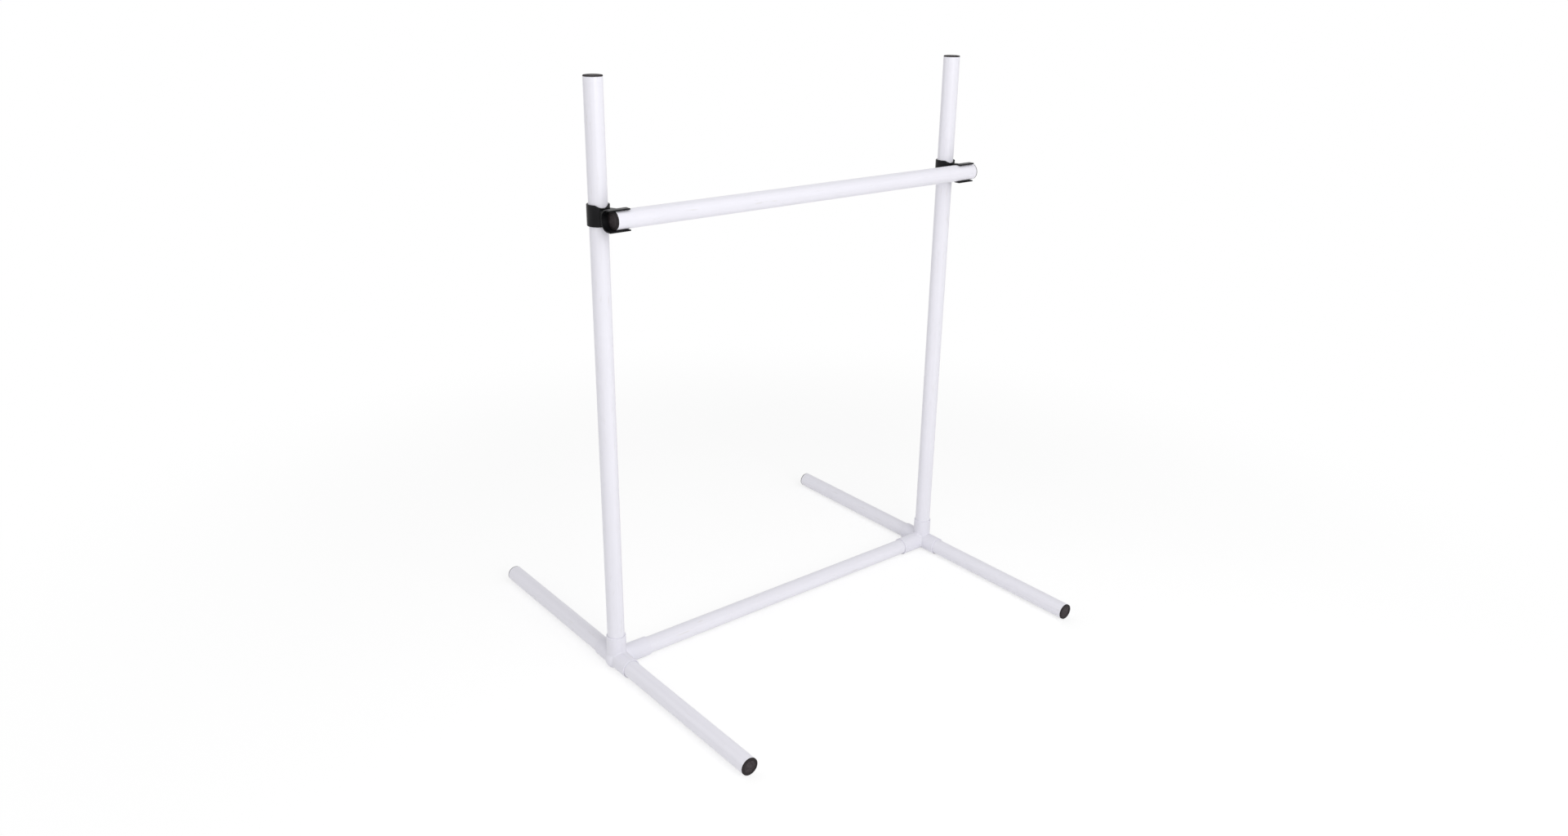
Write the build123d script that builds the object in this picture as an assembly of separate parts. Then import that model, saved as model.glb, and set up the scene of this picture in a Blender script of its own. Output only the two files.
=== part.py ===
from build123d import *
import math
import os

# Agility hurdle of push-fit plastic tube, in millimetres. +Z is up, +X runs along the jump bar from the left
# upright to the right one, and -Y points to the side that carries the bar. The origin is on the floor,
# midway between the two uprights.

# ---- tube stock ----
tube_od = 28.0
tube_wall = 2.0

# ---- overall sizes ----
upright_spacing = 706.0      # between the axes of the two uprights
hurdle_height = 941.0        # floor to the top of an upright's end cap
foot_reach = 360.0           # hub centre to the outer face of a foot's end cap
bar_height = 746.0           # floor to the bar's axis
bar_left_inset = 2.0         # from the left upright's axis in to the bar's left end
bar_right_overhang = 31.0    # from the right upright's axis out to the bar's right end

# ---- base connector ----
socket_wall = 1.95           # around the tube's bore
fit_clearance = 0.05         # radial, between a tube and what it slides in
upright_socket_depth = 26.0  # of tube inside the socket
foot_socket_depth = 27.0
cross_socket_depth = 41.0
seat_gap = 3.0               # from a seated tube's end to the line of the next tube's side
boss_reach = 4.0             # hub centre to the centre of the domed outer end
mouth_round = 0.9            # on a socket's outer rim
crotch_fillet = 2.0          # where two sockets meet
lead_in = 0.5                # chamfer at the mouth of a bore

# ---- bar clip ----
ring_wall = 2.8
ring_height = 31.0
ring_lift = 3.0              # middle of the ring, above the bar's axis
saddle_depth = 4.0           # dip in the ring's top, above the web
saddle_width = 22.0
cup_wall = 2.2
cup_length = 35.0
cup_offset = 9.0             # middle of the cup from the upright's axis, towards the right
bar_standoff = 7.5           # clear gap between the upright and the bar
arm_reach = 9.0              # how far the cup's two arms pass the bar's axis
web_inset = 3.0              # from the ring's lower end up to the web, and from the saddle down to it
clip_round = 0.9             # on the clip's edges

# ---- end cap ----
cap_rim_inset = 0.15         # cap edge inside the tube's outer surface
cap_thickness = 2.0
cap_round = 0.8
cap_border = 4.5             # flat border round the dished face
cap_dish_depth = 0.5
plug_length = 13.0
plug_wall = 1.8
plug_chamfer = 0.8

# ---- worked out from the sizes above ----
tube_radius = tube_od / 2
bore_radius = tube_radius + fit_clearance
socket_radius = bore_radius + socket_wall
tube_stop = tube_radius + seat_gap                   # hub centre to the seated end of a tube
hub_height = socket_radius                           # the sockets lie on the floor
half_spacing = upright_spacing / 2
bar_front = tube_od + bar_standoff                   # between the axes of upright and bar
bar_left_end = -half_spacing + bar_left_inset
bar_right_end = half_spacing + bar_right_overhang

SIDES = {"left": -1, "right": 1}

# turns that carry +Z onto the named direction
TO_UP = Rot(0, 0, 0)
TO_LEFT = Rot(0, -90, 0)
TO_RIGHT = Rot(0, 90, 0)
TO_FRONT = Rot(90, 0, 0)
TO_BACK = Rot(-90, 0, 0)


def rod(radius, start, end):
    """Solid cylinder about Z, from start to end."""
    return Pos(0, 0, start) * Cylinder(radius, end - start, align=(Align.CENTER, Align.CENTER, Align.MIN))


def bore(radius, start, end):
    """Cutting tool about Z for a round hole from start to a mouth at end, with its lead-in chamfer."""
    flare = Cone(radius, radius + lead_in, lead_in, align=(Align.CENTER, Align.CENTER, Align.MAX))
    return rod(radius, start, end) + Pos(0, 0, end) * flare


def rounded_rim(solid, radius):
    """A solid of revolution about Z with its upper outer edge rounded."""
    rim = solid.edges().filter_by(GeomType.CIRCLE).sort_by(Axis.Z)[-1]
    return fillet(rim, radius)


def tube(start, end):
    """Length of tube stock about Z, from start to end."""
    return rod(tube_radius, start, end) - rod(tube_radius - tube_wall, start, end)


def end_cap():
    """Push-in cap about Z: its rim seats on a tube end at z = 0 and its plug reaches down into the tube."""
    rim_radius = tube_radius - cap_rim_inset
    plug_radius = tube_radius - tube_wall - fit_clearance
    rim = rounded_rim(rod(rim_radius, 0, cap_thickness), cap_round)
    plug = rod(plug_radius, -plug_length, 0)
    plug = chamfer(plug.edges().filter_by(GeomType.CIRCLE).sort_by(Axis.Z)[0], plug_chamfer)
    hollow = rod(plug_radius - plug_wall, -plug_length, 0)
    dish = rod(rim_radius - cap_border, cap_thickness - cap_dish_depth, cap_thickness)
    return rim + plug - hollow - dish


def socket_arms():
    """Each socket of a base connector: the turn that points it, and how far its mouth is from the hub."""
    depths = [
        (TO_UP, upright_socket_depth),
        (TO_FRONT, foot_socket_depth),
        (TO_BACK, foot_socket_depth),
        (TO_RIGHT, cross_socket_depth),
    ]
    return [(turn, tube_stop + depth) for turn, depth in depths]


def base_connector():
    """Four-way fitting at the origin for a left upright: its cross tube socket points to +X."""
    body = Sphere(socket_radius) + TO_LEFT * rod(socket_radius, 0, boss_reach)
    body += Pos(-boss_reach, 0, 0) * Sphere(socket_radius)
    for turn, reach in socket_arms():
        body += turn * rounded_rim(rod(socket_radius, 0, reach), mouth_round)
    crossings = [edge for edge in body.edges() if edge.geom_type not in (GeomType.CIRCLE, GeomType.LINE)]
    body = fillet(crossings, crotch_fillet)
    for turn, reach in socket_arms():
        body -= turn * bore(bore_radius, tube_stop, reach)
        body -= turn * rod(tube_radius - tube_wall, 0, tube_stop)
    return body


def slot_outline(radius, reach):
    """Side view about the bar's axis: a half round at the back, with straight sides that run reach forward."""
    front_half = Pos(-radius, 0) * Rectangle(2 * radius, 2 * radius)
    straight = Pos(-reach / 2, 0) * Rectangle(reach, 2 * radius)
    return Circle(radius) - front_half + straight


def runs_round(edge, radius):
    """Whether an edge lies on the cylinder of that radius about Z, and isn't a straight line along it."""
    points = [edge @ part for part in (0, 0.5, 1)]
    on_cylinder = all(abs(math.hypot(point.X, point.Y) - radius) < 0.01 for point in points)
    return on_cylinder and edge.geom_type != GeomType.LINE


def clip_ring():
    """Ring that slides on the upright, about Z and level with z = 0, before it is bored. Its top dips at the front."""
    ring_radius = bore_radius + ring_wall
    scoop_radius = (saddle_width**2 / 4 + saddle_depth**2) / (2 * saddle_depth)
    scoop = TO_FRONT * rod(scoop_radius, 0, 2 * ring_radius)
    ring = rod(ring_radius, -ring_height / 2, ring_height / 2)
    ring -= Pos(0, 0, ring_height / 2 - saddle_depth + scoop_radius) * scoop
    return fillet([edge for edge in ring.edges() if runs_round(edge, ring_radius)], clip_round)


def clip_web(left, right, cup_back):
    """Solid web from the ring to the cup. It reaches the bar's axis, and the bar's slot cuts it back."""
    plan = Polyline(
        (left, -bar_front),
        (right, -bar_front),
        (right, cup_back),
        (bore_radius + ring_wall, 0),
        (-bore_radius, 0),
        (left, -bore_radius),
        close=True,
    )
    start = ring_lift - ring_height / 2 + web_inset
    height = ring_height - saddle_depth - 2 * web_inset
    web = Pos(0, 0, start) * extrude(make_face(plan), height)
    return fillet(web.edges(), clip_round)


def bar_clip():
    """One-piece clip about the upright's axis (Z), with the bar's axis at z = 0: ring, web and open cup."""
    cup_radius = bore_radius + cup_wall
    cup_start = cup_offset - cup_length / 2
    cup_end = cup_start + cup_length
    along_bar = Plane(origin=(cup_start, -bar_front, 0), x_dir=(0, 1, 0), z_dir=(1, 0, 0))
    inside = along_bar * slot_outline(bore_radius, arm_reach + tube_od)
    cup = extrude(along_bar * slot_outline(cup_radius, arm_reach) - inside, cup_length)
    cup = fillet(cup.edges(), clip_round)
    web = clip_web(cup_start + clip_round, cup_end - clip_round, cup_radius - bar_front)
    half_bore = bore(bore_radius, 0, ring_height / 2)
    ring_middle = Pos(0, 0, ring_lift)
    clip = ring_middle * clip_ring() + cup + web - extrude(inside, cup_length)
    return clip - ring_middle * half_bore - ring_middle * mirror(half_bore, Plane.XY)


def save(shape, name):
    """Write one piece as its own file."""
    export_step(shape, f"parts/{name}.step")


def build_base():
    """Connectors, cross tube, feet and uprights, each tube with its end caps."""
    left_connector = base_connector()
    connectors = {"left": left_connector, "right": mirror(left_connector, Plane.YZ)}
    half_cross = half_spacing - tube_stop
    save(Pos(0, 0, hub_height) * TO_RIGHT * tube(-half_cross, half_cross), "cross_tube")
    upright_end = hurdle_height - hub_height - cap_thickness
    foot_end = foot_reach - cap_thickness
    for side, side_x in SIDES.items():
        hub = Pos(side_x * half_spacing, 0, hub_height)
        save(hub * connectors[side], f"{side}_base_connector")
        save(hub * tube(tube_stop, upright_end), f"{side}_upright")
        save(hub * Pos(0, 0, upright_end) * end_cap(), f"{side}_upright_cap")
        for end, turn in (("front", TO_FRONT), ("back", TO_BACK)):
            save(hub * turn * tube(tube_stop, foot_end), f"{side}_{end}_foot")
            save(hub * turn * Pos(0, 0, foot_end) * end_cap(), f"{side}_{end}_foot_cap")


def build_bar():
    """Jump bar with its two caps, and the two identical clips that hold it."""
    bar_axis = Pos(0, -bar_front, bar_height)
    tube_ends = {"left": bar_left_end + cap_thickness, "right": bar_right_end - cap_thickness}
    save(bar_axis * TO_RIGHT * tube(tube_ends["left"], tube_ends["right"]), "jump_bar")
    for side, turn in (("left", TO_LEFT), ("right", TO_RIGHT)):
        save(bar_axis * Pos(tube_ends[side], 0, 0) * turn * end_cap(), f"{side}_bar_cap")
        save(Pos(SIDES[side] * half_spacing, 0, bar_height) * bar_clip(), f"{side}_bar_clip")


os.makedirs("parts", exist_ok=True)
build_base()
build_bar()
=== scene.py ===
"""Plastics, studio stage and camera for a free-standing agility hurdle of push-fit plastic tube."""

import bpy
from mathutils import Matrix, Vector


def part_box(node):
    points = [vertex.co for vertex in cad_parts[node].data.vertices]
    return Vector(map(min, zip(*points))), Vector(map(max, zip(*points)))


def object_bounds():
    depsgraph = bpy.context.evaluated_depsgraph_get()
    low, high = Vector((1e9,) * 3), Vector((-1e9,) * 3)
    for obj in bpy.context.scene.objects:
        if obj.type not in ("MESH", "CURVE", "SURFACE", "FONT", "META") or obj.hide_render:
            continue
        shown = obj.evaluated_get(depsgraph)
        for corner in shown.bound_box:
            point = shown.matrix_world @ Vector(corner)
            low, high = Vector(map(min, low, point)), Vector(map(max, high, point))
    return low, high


bl_info = {
    "name": "Agility hurdle",
    "version": (1, 0, 0),
    "blender": (4, 5, 0),
    "location": "View3D > Sidebar > Hurdle",
    "description": "Plastics, studio stage and camera for a push-fit agility hurdle",
    "category": "Object",
}

import math

import bmesh
import bpy
from bpy.props import FloatProperty, FloatVectorProperty, PointerProperty
from mathutils import Matrix, Vector

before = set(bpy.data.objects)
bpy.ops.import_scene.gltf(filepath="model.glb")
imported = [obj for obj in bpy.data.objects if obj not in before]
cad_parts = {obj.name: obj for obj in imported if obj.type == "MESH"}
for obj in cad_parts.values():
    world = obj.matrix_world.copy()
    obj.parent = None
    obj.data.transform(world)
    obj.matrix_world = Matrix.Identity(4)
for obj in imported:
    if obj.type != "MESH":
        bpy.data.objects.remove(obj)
CAD_BOX = [list(corner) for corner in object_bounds()]

MM = 0.001
SIDES = ("left", "right")
UPRIGHT_TUBES = [f"{side}_upright" for side in SIDES]
FOOT_TUBES = [f"{side}_{end}_foot" for side in SIDES for end in ("front", "back")]

# the tubes that run along each axis, and their caps
TUBES = {"X": ["cross_tube", "jump_bar"], "Y": FOOT_TUBES, "Z": UPRIGHT_TUBES}
CAPS = {
    "X": [f"{side}_bar_cap" for side in SIDES],
    "Y": [f"{tube}_cap" for tube in FOOT_TUBES],
    "Z": [f"{tube}_cap" for tube in UPRIGHT_TUBES],
}

# each lamp's place, the point it shines at, and the width of its square
LAMPS = {
    "key_lamp": ((-0.5, -2.4, 1.3), (0.0, 0.0, 0.45), 1.6),
    "top_lamp": ((-0.2, -1.2, 2.2), (0.0, -0.3, 0.0), 1.6),
    "side_lamp": ((-2.1, 1.3, 1.4), (0.0, 0.0, 0.45), 1.4),
}
SENSOR_WIDTH = 36.0          # of the camera, in millimetres
FADE_START = 0.45            # where the floor's shading starts to fade, as a part of its reach

# ---- fixed values of the plastics ----
# A tone multiplies a piece's own colour. An amount is how much of a mark shows, from 0 to 1. A band is the
# part of a pattern over which a mark goes from none to full. A swing is how far roughness goes down and up.

PLASTIC_IOR = 1.50
SOFT_PLASTIC_IOR = 1.48
EVEN_BAND = (0.30, 0.70)
WIDE_BAND = (0.25, 0.75)
BEVEL_SAMPLES = 6
FLAT = 0.999                 # a rounded normal that agrees this well with the true one is on a flat

GRIME_BAND = (0.35, 0.75)
GRIME_AMOUNTS = (0.15, 0.75)

TUBE_MOTTLE_TONE = 0.985
TUBE_MOTTLE_DEPTH = 0.10 * MM
TUBE_SWING = (-0.04, 0.05)
DIE_LINE_ROUGHNESS = 0.05
DIE_LINE_DEPTH = 0.02 * MM
STREAK_BAND = (0.35, 0.75)
STREAK_AMOUNT = 0.80
STREAK_TONE = 0.95
SCUFF_BAND = (0.60, 0.72)
SCUFF_AMOUNT = 0.30
SCUFF_TONE = 1.40
SCUFF_ROUGHNESS = 0.16
SCUFF_DEPTH = 0.01 * MM

FITTING_FLOW_TONE = 0.975
FITTING_SWING = (-0.05, 0.06)
FITTING_SEAM_AMOUNT = 0.35
FITTING_SEAM_TONE = 0.90
FITTING_SEAM_HEIGHT = 0.12 * MM
FITTING_WEAR_REACH = 1.2 * MM
FITTING_WEAR_SHARPNESS = 0.10
FITTING_WEAR_AMOUNT = 0.30
FITTING_WEAR_TONE = 1.05
FITTING_WEAR_POLISH = 0.08
ORANGE_PEEL_DEPTH = 0.02 * MM

CLIP_DARK_TONE = 0.80
CLIP_LIGHT_TONE = 1.30
CLIP_SWING = (-0.05, 0.10)
CLIP_SEAM_HEIGHT = 0.10 * MM
CLIP_WEAR_REACH = 0.9 * MM
CLIP_WEAR_SHARPNESS = 0.12
CLIP_WEAR_BAND = (0.30, 0.65)
CLIP_WEAR_PATCHES = (0.35, 1.00)
CLIP_WEAR_AMOUNT = 0.30
CLIP_WEAR_COLOUR = (0.10, 0.10, 0.105)
CLIP_GRAIN_ROUGHNESS = 0.08
CLIP_GRAIN_DEPTH = 0.015 * MM

CAP_DISH_EDGE = (8.6 * MM, 10.2 * MM)
CAP_GATE_EDGE = (0.9 * MM, 1.3 * MM)
CAP_GATE_HEIGHT = 0.25 * MM
CAP_RINGS = 9000.0           # turned rings, in radians per metre of radius
CAP_RING_DEPTH = 0.006 * MM
# painted shade: the tone to which each cap's rim is darkened against its dish
CAP_RIM_SHADE_TONE = 0.55
CAP_SWING = (-0.06, 0.12)
CAP_DUST_BAND = (0.38, 0.66)
# dust on the rim and in the dish; the larger amount in the dish is partly a painted reflection that
# lightens the cap's middle
CAP_DUST_AND_REFLECTION_AMOUNTS = (0.10, 0.32)
CAP_WEAR_REACH = 0.8 * MM
CAP_WEAR_SHARPNESS = 0.15
CAP_WEAR_AMOUNT = 0.20
CAP_GRAIN_DEPTH = 0.03 * MM


# ---- sizes and colours that a user would change ----


class HurdlePlastics(bpy.types.PropertyGroup):
    """Colours and surface of the tube, the fittings, the clips and the caps."""

    tube_colour: FloatVectorProperty(
        name="Tube", description="Colour of the extruded tube",
        subtype="COLOR", min=0, max=1, default=(0.84, 0.83, 0.895))
    fitting_colour: FloatVectorProperty(
        name="Fitting", description="Colour of the moulded base connectors",
        subtype="COLOR", min=0, max=1, default=(0.81, 0.80, 0.87))
    clip_colour: FloatVectorProperty(
        name="Clip", description="Colour of the bar clips",
        subtype="COLOR", min=0, max=1, default=(0.006, 0.006, 0.007))
    cap_colour: FloatVectorProperty(
        name="Cap", description="Colour of the end caps",
        subtype="COLOR", min=0, max=1, default=(0.034, 0.027, 0.029))
    # colour of the caps' dust and wear, and also of the painted reflection in the middle of each cap's dish
    dust_wear_and_reflection_colour: FloatVectorProperty(
        name="Dust", description="Colour of the dust and wear on the caps",
        subtype="COLOR", min=0, max=1, default=(0.125, 0.110, 0.118))
    grime_colour: FloatVectorProperty(
        name="Grime", description="Colour of the marks that the floor leaves on the underside",
        subtype="COLOR", min=0, max=1, default=(0.42, 0.40, 0.36))
    tube_roughness: FloatProperty(
        name="Tube roughness", description="Roughness of clean tube",
        subtype="FACTOR", min=0, max=1, default=0.30)
    fitting_roughness: FloatProperty(
        name="Fitting roughness", description="Roughness of the connectors",
        subtype="FACTOR", min=0, max=1, default=0.36)
    clip_roughness: FloatProperty(
        name="Clip roughness", description="Roughness of the clips",
        subtype="FACTOR", min=0, max=1, default=0.30)
    cap_roughness: FloatProperty(
        name="Cap roughness", description="Roughness of the caps",
        subtype="FACTOR", min=0, max=1, default=0.50)
    black_gloss: FloatProperty(
        name="Black gloss", description="Strength of the gloss on the clips and the caps",
        subtype="FACTOR", min=0, max=1, default=0.14)
    grime_height: FloatProperty(
        name="Grime height", description="How far up from the floor the grime reaches",
        unit="LENGTH", min=0, default=7 * MM)
    seam_width: FloatProperty(
        name="Seam width", description="Width of the line where the two halves of a mould meet",
        unit="LENGTH", min=0, default=0.5 * MM)


class HurdleStage(bpy.types.PropertyGroup):
    """Floor, lamps and camera."""

    floor_colour: FloatVectorProperty(
        name="Floor", description="Colour of the floor",
        subtype="COLOR", min=0, max=1, default=(0.955, 0.955, 0.955))
    floor_reach: FloatProperty(
        name="Floor reach", description="Half the side of the floor",
        unit="LENGTH", min=1, default=60.0)
    shading_reach: FloatProperty(
        name="Shading reach", description="How far from the hurdle's middle the floor shows its shading",
        unit="LENGTH", min=0.5, default=1.6)
    floor_paleness: FloatProperty(
        name="Floor paleness", description="How much of the floor's own shading is hidden from view",
        subtype="FACTOR", min=0, max=1, default=0.60)
    floor_lift: FloatProperty(
        name="Floor lift", description="Plain white that shows on top of the floor's shading",
        subtype="FACTOR", min=0, max=1, default=0.68)
    room_light: FloatProperty(
        name="Room light", description="Strength of the even light from all round",
        min=0, default=0.57)
    key_power: FloatProperty(
        name="Key lamp", description="Power of the large lamp in front",
        unit="POWER", min=0, default=23.0)
    top_power: FloatProperty(
        name="Top lamp", description="Power of the lamp above the front",
        unit="POWER", min=0, default=8.0)
    side_power: FloatProperty(
        name="Side lamp", description="Power of the lamp on the left, towards the back",
        unit="POWER", min=0, default=6.0)
    camera_place: FloatVectorProperty(
        name="Camera", description="Where the camera stands",
        subtype="TRANSLATION", unit="LENGTH", default=(-1.207, -1.467, 1.095))
    camera_heading: FloatProperty(
        name="Heading", description="Which way the camera faces, anticlockwise from +Y",
        subtype="ANGLE", default=-0.686)
    camera_dip: FloatProperty(
        name="Dip", description="How far the camera looks down",
        subtype="ANGLE", default=0.371)
    camera_roll: FloatProperty(
        name="Roll", description="Turn about the line of sight",
        subtype="ANGLE", default=0.016)
    camera_lens: FloatProperty(
        name="Lens", description="Focal length",
        subtype="DISTANCE_CAMERA", min=1, default=27.25)


# ---- making materials ----


class Recipe:
    """A material in the making: its node tree, with short ways to add to it. Noise scales are per metre."""

    def __init__(self, name):
        self.material = bpy.data.materials.new(name)
        self.material.use_nodes = True
        self.tree = self.material.node_tree
        self.tree.nodes.clear()
        self.place = self.node("ShaderNodeTexCoord").outputs["Object"]

    def node(self, kind, sockets=None, **settings):
        """Adds a node. Each entry of sockets is a value, or another node's output to link."""
        node = self.tree.nodes.new(kind)
        for name, value in settings.items():
            setattr(node, name, value)
        for name, value in (sockets or {}).items():
            if isinstance(value, bpy.types.NodeSocket):
                self.tree.links.new(value, node.inputs[name])
            else:
                node.inputs[name].default_value = value
        return node

    def stretched(self, scale, centre=(0, 0, 0)):
        """Object coordinates less centre, times scale."""
        shift = [-c * s for c, s in zip(centre, scale)]
        sockets = {"Vector": self.place, "Location": shift, "Scale": scale}
        return self.node("ShaderNodeMapping", sockets).outputs[0]

    def noise(self, scale, detail, roughness=0.5, place=None):
        """Noise from 0 to 1, on Object coordinates unless a place is given."""
        sockets = {"Vector": place or self.place, "Scale": scale, "Detail": detail, "Roughness": roughness}
        return self.node("ShaderNodeTexNoise", sockets).outputs["Fac"]

    def drawn_noise(self, axis, along, across, detail, roughness=0.5):
        """Noise from 0 to 1 that is drawn out along an axis, with one scale along it and one across it."""
        scale = tuple(along if name == axis else across for name in "XYZ")
        return self.noise(1.0, detail, roughness, self.stretched(scale))

    def spread(self, value, band, ends=(0.0, 1.0)):
        """Maps value smoothly from a band onto two ends, and no further."""
        sockets = {
            "Value": value,
            "From Min": band[0],
            "From Max": band[1],
            "To Min": ends[0],
            "To Max": ends[1],
        }
        return self.node("ShaderNodeMapRange", sockets, interpolation_type="SMOOTHSTEP").outputs["Result"]

    def maths(self, operation, first, second=0.0):
        """One step of arithmetic."""
        return self.node("ShaderNodeMath", {0: first, 1: second}, operation=operation).outputs[0]

    def mixed(self, factor, first, second):
        """The first colour going over to the second one with factor."""
        mix = self.node("ShaderNodeMix", data_type="RGBA")
        for socket, value in ((mix.inputs[0], factor), (mix.inputs[6], first), (mix.inputs[7], second)):
            if isinstance(value, bpy.types.NodeSocket):
                self.tree.links.new(value, socket)
            else:
                socket.default_value = value if socket.type == "VALUE" else (*value, 1.0)
        return mix.outputs[2]

    def marked(self, colour, mark, amount, mark_colour):
        """A colour that goes over to a mark's own colour, by an amount of the mark."""
        return self.mixed(self.maths("MULTIPLY", mark, amount), colour, mark_colour)

    def axis_value(self, axis, place=None):
        """One coordinate of a place."""
        parts = self.node("ShaderNodeSeparateXYZ", {0: place or self.place})
        return parts.outputs[axis]

    def distance(self, place):
        """Length of a place's coordinates."""
        return self.node("ShaderNodeVectorMath", {0: place}, operation="LENGTH").outputs["Value"]

    def edges(self, radius, sharpness):
        """1 on edges that a radius reaches round, 0 on flats."""
        rounded = self.node("ShaderNodeBevel", {"Radius": radius}, samples=BEVEL_SAMPLES).outputs[0]
        true = self.node("ShaderNodeNewGeometry").outputs["Normal"]
        agreement = self.node("ShaderNodeVectorMath", {0: rounded, 1: true}, operation="DOT_PRODUCT")
        return self.spread(agreement.outputs["Value"], (1.0 - sharpness, FLAT), (1.0, 0.0))

    def relief(self, height, depth, under=None):
        """Raises the surface by height times depth, on top of another relief."""
        sockets = {"Height": height, "Strength": 1.0, "Distance": depth}
        if under is not None:
            sockets["Normal"] = under
        return self.node("ShaderNodeBump", sockets).outputs[0]

    def finish(self, colour, roughness, normal, **constants):
        """Ends in a Principled shader."""
        sockets = {"Base Color": colour, "Roughness": roughness, "Normal": normal, **constants}
        shader = self.node("ShaderNodeBsdfPrincipled", sockets)
        self.node("ShaderNodeOutputMaterial", {"Surface": shader.outputs[0]})
        return self.material


def shade(colour, tone):
    """A colour, darker or lighter."""
    return tuple(min(1.0, part * tone) for part in colour)


def about(roughness, swing):
    """The two ends of a roughness that swings about its own value."""
    return roughness + swing[0], roughness + swing[1]


def floor_grime(recipe, reach):
    """How much the floor has marked the surface, in patches: none above reach."""
    height = recipe.axis_value("Z")
    patches = recipe.noise(scale=55.0, detail=4.0, roughness=0.6)
    low = recipe.spread(height, (0.0, reach), (1.0, 0.0))
    return recipe.maths("MULTIPLY", low, recipe.spread(patches, GRIME_BAND, GRIME_AMOUNTS))


def mould_seam(recipe, axis, centre, width):
    """A fine line where a plane across an axis, through centre, cuts the surface."""
    offset = recipe.axis_value(axis, recipe.stretched((1, 1, 1), centre))
    return recipe.spread(recipe.maths("ABSOLUTE", offset), (width / 4, width / 2), (1.0, 0.0))


def tube_plastic(axis, look):
    """Extruded tube along an axis: die lines, faint streaks, handling scuffs and soft mottling."""
    recipe = Recipe(f"tube_along_{axis.lower()}")
    clean = look.tube_colour
    die_lines = recipe.drawn_noise(axis, along=3.0, across=700.0, detail=2.0)
    streaks = recipe.drawn_noise(axis, along=1.2, across=130.0, detail=2.0)
    mottle = recipe.noise(scale=16.0, detail=3.0)
    rubbed = recipe.drawn_noise(axis, along=22.0, across=210.0, detail=5.0, roughness=0.65)
    scuffs = recipe.spread(rubbed, SCUFF_BAND)
    streaky = recipe.spread(streaks, STREAK_BAND, (0.0, STREAK_AMOUNT))
    colour = recipe.mixed(recipe.spread(mottle, EVEN_BAND), shade(clean, TUBE_MOTTLE_TONE), clean)
    colour = recipe.mixed(streaky, colour, shade(clean, STREAK_TONE))
    colour = recipe.marked(colour, scuffs, SCUFF_AMOUNT, shade(look.grime_colour, SCUFF_TONE))
    colour = recipe.mixed(floor_grime(recipe, look.grime_height), colour, look.grime_colour)
    rough = recipe.spread(mottle, WIDE_BAND, about(look.tube_roughness, TUBE_SWING))
    rough = recipe.maths("ADD", rough, recipe.maths("MULTIPLY", scuffs, SCUFF_ROUGHNESS))
    rough = recipe.maths("ADD", rough, recipe.maths("MULTIPLY", die_lines, DIE_LINE_ROUGHNESS))
    normal = recipe.relief(die_lines, DIE_LINE_DEPTH)
    normal = recipe.relief(mottle, TUBE_MOTTLE_DEPTH, normal)
    normal = recipe.relief(scuffs, -SCUFF_DEPTH, normal)
    return recipe.finish(colour, rough, normal, IOR=PLASTIC_IOR)


def fitting_plastic(side, hub, look):
    """Moulded white fitting: fine orange peel, a seam round its three arms, and soft wear on its rims."""
    recipe = Recipe(f"fitting_{side}")
    clean = look.fitting_colour
    peel = recipe.noise(scale=520.0, detail=2.0)
    flow = recipe.noise(scale=38.0, detail=4.0, roughness=0.6)
    seam = mould_seam(recipe, "X", hub, look.seam_width)
    worn = recipe.edges(FITTING_WEAR_REACH, FITTING_WEAR_SHARPNESS)
    colour = recipe.mixed(recipe.spread(flow, EVEN_BAND), shade(clean, FITTING_FLOW_TONE), clean)
    colour = recipe.marked(colour, seam, FITTING_SEAM_AMOUNT, shade(clean, FITTING_SEAM_TONE))
    colour = recipe.marked(colour, worn, FITTING_WEAR_AMOUNT, shade(clean, FITTING_WEAR_TONE))
    colour = recipe.mixed(floor_grime(recipe, look.grime_height), colour, look.grime_colour)
    rough = recipe.spread(flow, WIDE_BAND, about(look.fitting_roughness, FITTING_SWING))
    rough = recipe.maths("SUBTRACT", rough, recipe.maths("MULTIPLY", worn, FITTING_WEAR_POLISH))
    normal = recipe.relief(peel, ORANGE_PEEL_DEPTH)
    normal = recipe.relief(seam, FITTING_SEAM_HEIGHT, normal)
    return recipe.finish(colour, rough, normal, IOR=PLASTIC_IOR)


def clip_plastic(side, centre, look):
    """Moulded black clip: satin grain, a seam up its sides, and edges polished grey by bar and hand."""
    recipe = Recipe(f"clip_{side}")
    dark = shade(look.clip_colour, CLIP_DARK_TONE)
    light = shade(look.clip_colour, CLIP_LIGHT_TONE)
    grain = recipe.noise(scale=900.0, detail=3.0, roughness=0.6)
    flow = recipe.noise(scale=70.0, detail=4.0, roughness=0.6)
    seam = mould_seam(recipe, "Y", centre, look.seam_width)
    worn = recipe.edges(CLIP_WEAR_REACH, CLIP_WEAR_SHARPNESS)
    worn = recipe.maths("MULTIPLY", worn, recipe.spread(flow, CLIP_WEAR_BAND, CLIP_WEAR_PATCHES))
    colour = recipe.mixed(recipe.spread(flow, EVEN_BAND), dark, light)
    colour = recipe.marked(colour, worn, CLIP_WEAR_AMOUNT, CLIP_WEAR_COLOUR)
    rough = recipe.spread(flow, WIDE_BAND, about(look.clip_roughness, CLIP_SWING))
    rough = recipe.maths("ADD", rough, recipe.maths("MULTIPLY", grain, CLIP_GRAIN_ROUGHNESS))
    normal = recipe.relief(grain, CLIP_GRAIN_DEPTH)
    normal = recipe.relief(seam, CLIP_SEAM_HEIGHT, normal)
    gloss = {"IOR": PLASTIC_IOR, "Specular IOR Level": look.black_gloss}
    return recipe.finish(colour, rough, normal, **gloss)


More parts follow.
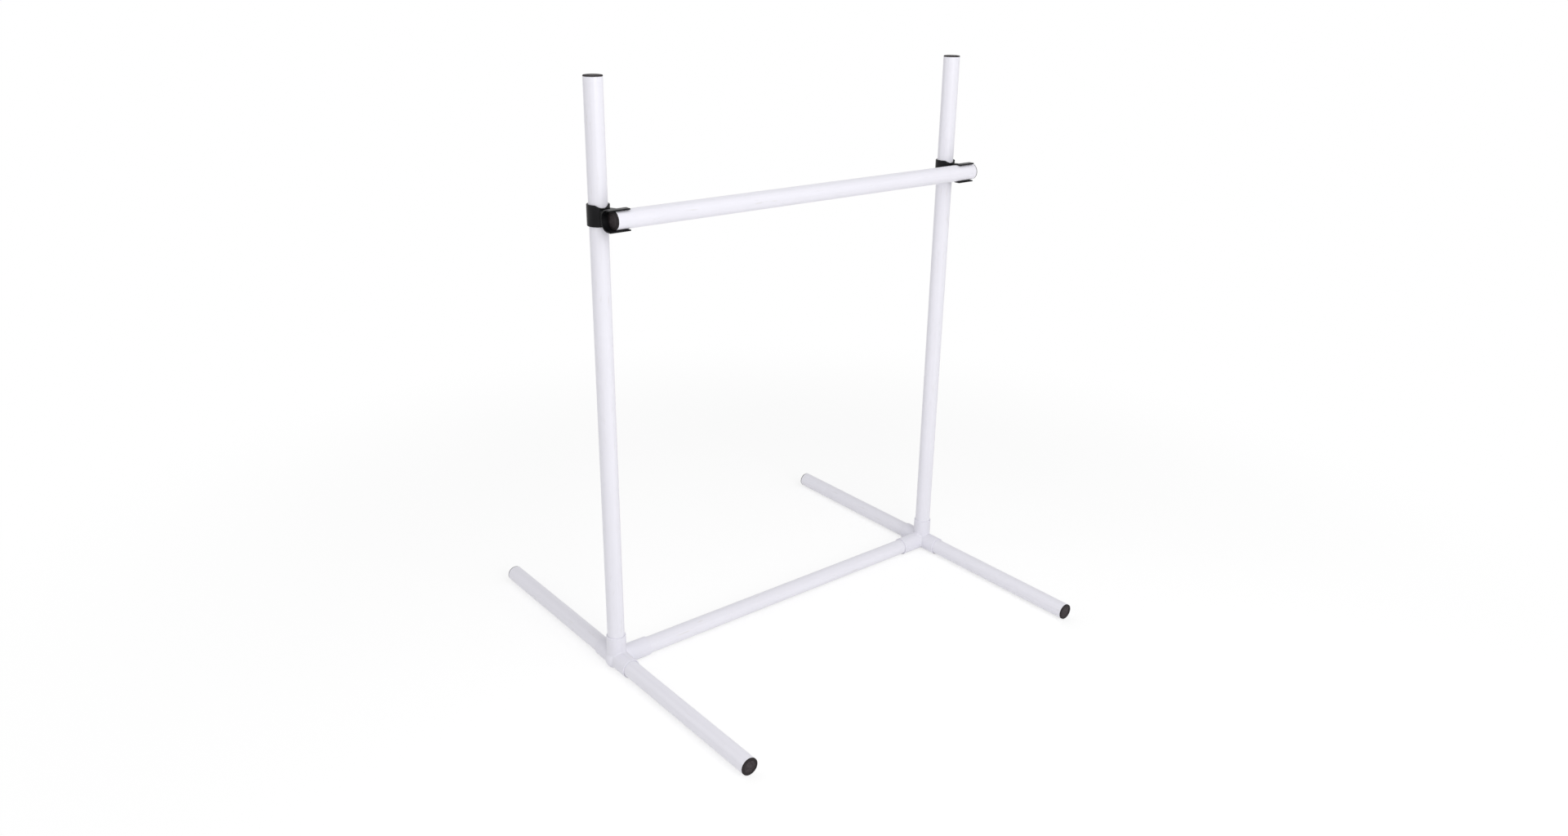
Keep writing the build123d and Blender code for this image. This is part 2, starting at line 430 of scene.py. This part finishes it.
def cap_plastic(name, axis, centre, look):
    """Soft black cap: a mottled dish, lightened by dust and by a painted reflection, in a rim darkened with
    painted shade, with faint turned rings and a gate mark.
    """
    recipe = Recipe(f"plastic_{name}")
    across = tuple(0.0 if letter == axis else 1.0 for letter in "XYZ")
    radius = recipe.distance(recipe.stretched(across, centre))
    rings = recipe.maths("SINE", recipe.maths("MULTIPLY", radius, CAP_RINGS))
    gate = recipe.spread(radius, CAP_GATE_EDGE, (1.0, 0.0))
    dish = recipe.spread(radius, CAP_DISH_EDGE, (1.0, 0.0))
    grain = recipe.noise(scale=1100.0, detail=2.0)
    blotches = recipe.noise(scale=330.0, detail=4.0, roughness=0.6)
    dust = recipe.spread(blotches, CAP_DUST_BAND)
    # painted reflection: more of the dust colour in the dish lightens the cap's middle, on top of real dust
    # blotches
    dust_and_reflection = recipe.spread(dish, (0.0, 1.0), CAP_DUST_AND_REFLECTION_AMOUNTS)
    worn = recipe.edges(CAP_WEAR_REACH, CAP_WEAR_SHARPNESS)
    # painted shade: the rim outside the dish is darkened
    colour = recipe.mixed(dish, shade(look.cap_colour, CAP_RIM_SHADE_TONE), look.cap_colour)
    colour = recipe.marked(colour, dust, dust_and_reflection, look.dust_wear_and_reflection_colour)
    colour = recipe.marked(colour, worn, CAP_WEAR_AMOUNT, look.dust_wear_and_reflection_colour)
    rough = recipe.spread(blotches, EVEN_BAND, about(look.cap_roughness, CAP_SWING))
    normal = recipe.relief(grain, CAP_GRAIN_DEPTH)
    normal = recipe.relief(rings, CAP_RING_DEPTH, normal)
    normal = recipe.relief(gate, CAP_GATE_HEIGHT, normal)
    gloss = {"IOR": SOFT_PLASTIC_IOR, "Specular IOR Level": look.black_gloss}
    return recipe.finish(colour, rough, normal, **gloss)


def middle(node):
    """Middle of a CAD node's box."""
    low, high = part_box(node)
    return (low + high) / 2


def clad(node, material):
    """Gives a CAD node a material."""
    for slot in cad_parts[node].material_slots:
        slot.material = material


# ---- floor, lamps and camera ----


def stage_floor(stage):
    """A pale floor that keeps the hurdle's shadow, and goes over to plain white away from it."""
    low, high = (Vector(corner) for corner in CAD_BOX)
    shape = bmesh.new()
    bmesh.ops.create_grid(shape, x_segments=1, y_segments=1, size=stage.floor_reach)
    mesh = bpy.data.meshes.new("stage_floor")
    shape.to_mesh(mesh)
    shape.free()
    floor = bpy.data.objects.new("stage_floor", mesh)
    bpy.context.scene.collection.objects.link(floor)
    recipe = Recipe("floor_card")
    centre = ((low.x + high.x) / 2, (low.y + high.y) / 2, 0.0)
    from_middle = recipe.distance(recipe.stretched((1, 1, 1), centre))
    far = recipe.spread(from_middle, (FADE_START * stage.shading_reach, stage.shading_reach))
    rays = recipe.node("ShaderNodeLightPath").outputs
    seen = recipe.maths("MAXIMUM", rays["Is Camera Ray"], rays["Is Glossy Ray"])
    seen = recipe.maths("MAXIMUM", seen, rays["Is Transmission Ray"])
    faint = shade(stage.floor_colour, 1 - stage.floor_paleness)
    colour = recipe.mixed(seen, stage.floor_colour, faint)
    card = recipe.node("ShaderNodeBsdfDiffuse", {"Color": colour}).outputs[0]
    lift_strength = recipe.maths("MULTIPLY", seen, stage.floor_lift)
    lift = recipe.node("ShaderNodeEmission", {"Strength": lift_strength}).outputs[0]
    near = recipe.node("ShaderNodeAddShader", {0: card, 1: lift}).outputs[0]
    white = recipe.node("ShaderNodeEmission", {"Strength": 1.0}).outputs[0]
    far_seen = recipe.maths("MULTIPLY", far, seen)
    surface = recipe.node("ShaderNodeMixShader", {0: far_seen, 1: near, 2: white})
    recipe.node("ShaderNodeOutputMaterial", {"Surface": surface.outputs[0]})
    mesh.materials.append(recipe.material)


def room(stage):
    """Even light all round. The camera, gloss and clear plastic see plain white."""
    world = bpy.data.worlds.new("studio")
    world.use_nodes = True
    bpy.context.scene.world = world
    tree = world.node_tree
    tree.nodes.clear()
    rays = tree.nodes.new("ShaderNodeLightPath").outputs
    seen = rays["Is Camera Ray"]
    for kind in ("Is Glossy Ray", "Is Transmission Ray"):
        either = tree.nodes.new("ShaderNodeMath")
        either.operation = "MAXIMUM"
        tree.links.new(seen, either.inputs[0])
        tree.links.new(rays[kind], either.inputs[1])
        seen = either.outputs[0]
    mix = tree.nodes.new("ShaderNodeMixShader")
    tree.links.new(seen, mix.inputs[0])
    for strength, socket in ((stage.room_light, mix.inputs[1]), (1.0, mix.inputs[2])):
        light = tree.nodes.new("ShaderNodeBackground")
        light.inputs["Color"].default_value = (1, 1, 1, 1)
        light.inputs["Strength"].default_value = strength
        tree.links.new(light.outputs[0], socket)
    output = tree.nodes.new("ShaderNodeOutputWorld")
    tree.links.new(mix.outputs[0], output.inputs["Surface"])


def lamp(name, power):
    """One of the square lamps."""
    place, aim, width = LAMPS[name]
    light = bpy.data.lights.new(name, "AREA")
    light.shape = "SQUARE"
    light.size = width
    light.energy = power
    holder = bpy.data.objects.new(name, light)
    bpy.context.scene.collection.objects.link(holder)
    turn = (Vector(aim) - Vector(place)).to_track_quat("-Z", "Y").to_matrix().to_4x4()
    holder.matrix_world = Matrix.Translation(place) @ turn


def stage_camera(stage):
    """The camera, level but for its dip and roll."""
    data = bpy.data.cameras.new("camera")
    data.sensor_width = SENSOR_WIDTH
    data.lens = stage.camera_lens
    camera = bpy.data.objects.new("camera", data)
    bpy.context.scene.collection.objects.link(camera)
    heading = Matrix.Rotation(stage.camera_heading, 4, "Z")
    dip = Matrix.Rotation(math.pi / 2 - stage.camera_dip, 4, "X")
    roll = Matrix.Rotation(stage.camera_roll, 4, "Z")
    camera.matrix_world = Matrix.Translation(stage.camera_place) @ heading @ dip @ roll
    bpy.context.scene.camera = camera


# ---- operators and panel ----


class HURDLE_OT_tubes(bpy.types.Operator):
    """Finish the uprights, the feet, the cross tube and the jump bar as extruded white tube"""

    bl_idname = "hurdle.tubes"
    bl_label = "Finish tubes"

    def execute(self, context):
        look = context.scene.hurdle_plastics
        for axis, nodes in TUBES.items():
            plastic = tube_plastic(axis, look)
            for node in nodes:
                clad(node, plastic)
        return {"FINISHED"}


class HURDLE_OT_connectors(bpy.types.Operator):
    """Finish the two base connectors as moulded white fittings"""

    bl_idname = "hurdle.connectors"
    bl_label = "Finish base connectors"

    def execute(self, context):
        look = context.scene.hurdle_plastics
        for side in SIDES:
            hub = middle(f"{side}_upright")
            clad(f"{side}_base_connector", fitting_plastic(side, hub, look))
        return {"FINISHED"}


class HURDLE_OT_clips(bpy.types.Operator):
    """Finish the two bar clips as satin black mouldings"""

    bl_idname = "hurdle.clips"
    bl_label = "Finish bar clips"

    def execute(self, context):
        look = context.scene.hurdle_plastics
        for side in SIDES:
            centre = middle(f"{side}_upright")
            clad(f"{side}_bar_clip", clip_plastic(side, centre, look))
        return {"FINISHED"}


class HURDLE_OT_caps(bpy.types.Operator):
    """Finish the eight end caps as soft black plastic"""

    bl_idname = "hurdle.caps"
    bl_label = "Finish end caps"

    def execute(self, context):
        look = context.scene.hurdle_plastics
        for axis, nodes in CAPS.items():
            for node in nodes:
                clad(node, cap_plastic(node, axis, middle(node), look))
        return {"FINISHED"}


class HURDLE_OT_stage(bpy.types.Operator):
    """Set up the floor, the room light, the lamps and the camera"""

    bl_idname = "hurdle.stage"
    bl_label = "Set the stage"

    def execute(self, context):
        stage = context.scene.hurdle_stage
        context.scene.view_settings.view_transform = "Standard"
        stage_floor(stage)
        room(stage)
        lamp("key_lamp", stage.key_power)
        lamp("top_lamp", stage.top_power)
        lamp("side_lamp", stage.side_power)
        stage_camera(stage)
        return {"FINISHED"}


class HURDLE_PT_sidebar(bpy.types.Panel):
    """Lists the hurdle's operators, and the sizes and colours they use"""

    bl_idname = "HURDLE_PT_sidebar"
    bl_label = "Agility hurdle"
    bl_space_type = "VIEW_3D"
    bl_region_type = "UI"
    bl_category = "Hurdle"

    def draw(self, context):
        for group in (context.scene.hurdle_plastics, context.scene.hurdle_stage):
            box = self.layout.box()
            for name in group.__annotations__:
                box.prop(group, name)
        for operator in OPERATORS:
            self.layout.operator(operator.bl_idname)


OPERATORS = (HURDLE_OT_tubes, HURDLE_OT_connectors, HURDLE_OT_clips, HURDLE_OT_caps, HURDLE_OT_stage)
CLASSES = (HurdlePlastics, HurdleStage, *OPERATORS, HURDLE_PT_sidebar)


def register():
    """Adds the classes and their settings to Blender."""
    for cls in CLASSES:
        bpy.utils.register_class(cls)
    bpy.types.Scene.hurdle_plastics = PointerProperty(type=HurdlePlastics)
    bpy.types.Scene.hurdle_stage = PointerProperty(type=HurdleStage)


def unregister():
    """Takes them out again."""
    del bpy.types.Scene.hurdle_stage
    del bpy.types.Scene.hurdle_plastics
    for cls in reversed(CLASSES):
        bpy.utils.unregister_class(cls)


def main():
    """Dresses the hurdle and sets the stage."""
    register()
    bpy.ops.hurdle.tubes()
    bpy.ops.hurdle.connectors()
    bpy.ops.hurdle.clips()
    bpy.ops.hurdle.caps()
    bpy.ops.hurdle.stage()
    bpy.context.view_layer.update()


if __name__ == "__main__":
    main()
